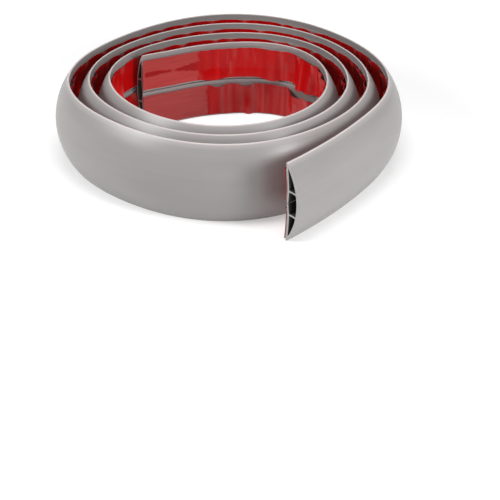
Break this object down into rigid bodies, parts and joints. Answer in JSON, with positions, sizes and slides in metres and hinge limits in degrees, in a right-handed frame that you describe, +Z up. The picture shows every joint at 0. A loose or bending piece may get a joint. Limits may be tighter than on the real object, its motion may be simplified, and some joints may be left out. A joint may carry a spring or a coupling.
{
  "type": "floor cord cover",
  "caption": "Loose coil of grey PVC floor cord cover with a low crown, three cable channels, a slit base and red-filmed tape.",
  "frame": {"origin": "middle of the footprint of the standing coil, on the floor", "axes": "+Z up along the coil's axis and across the strip; the cut outer end of the strip points along -Y"},
  "size_m": [0.3498, 0.3334, 0.08],
  "materials": {
    "pvc": "satin grey extruded flexible PVC",
    "tape": "off-white double-sided foam tape",
    "film": "thin glossy red release film"
  },
  "bodies": {
    "root": {"cover": "pvc", "lower_tape": "tape", "upper_tape": "tape", "lower_film": "film", "upper_film": "film"}
  },
  "joints": []
}
